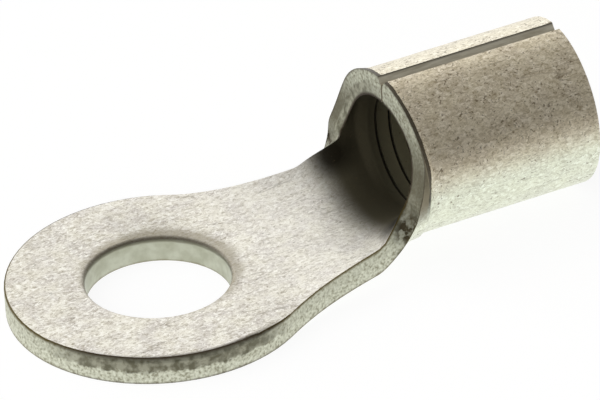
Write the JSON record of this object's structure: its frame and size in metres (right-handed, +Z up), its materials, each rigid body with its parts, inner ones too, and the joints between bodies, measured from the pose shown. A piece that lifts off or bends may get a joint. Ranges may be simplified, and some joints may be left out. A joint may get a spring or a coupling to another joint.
{
  "type": "ring terminal",
  "caption": "Ring terminal stamped and rolled from tin-plated sheet: a flat ring with a stud hole runs through a trough-shaped tongue into a butt-seamed crimp barrel.",
  "frame": {"origin": "middle of the stud hole, on the underside of the tongue", "axes": "+Z up through the stud hole, +X along the barrel towards the end where the wire goes in, Y across the tongue"},
  "size_m": [0.0266, 0.0134, 0.0076],
  "materials": {
    "tinned_sheet": "matte tin plate"
  },
  "bodies": {
    "root": {"ring_terminal": "tinned_sheet"}
  },
  "joints": []
}
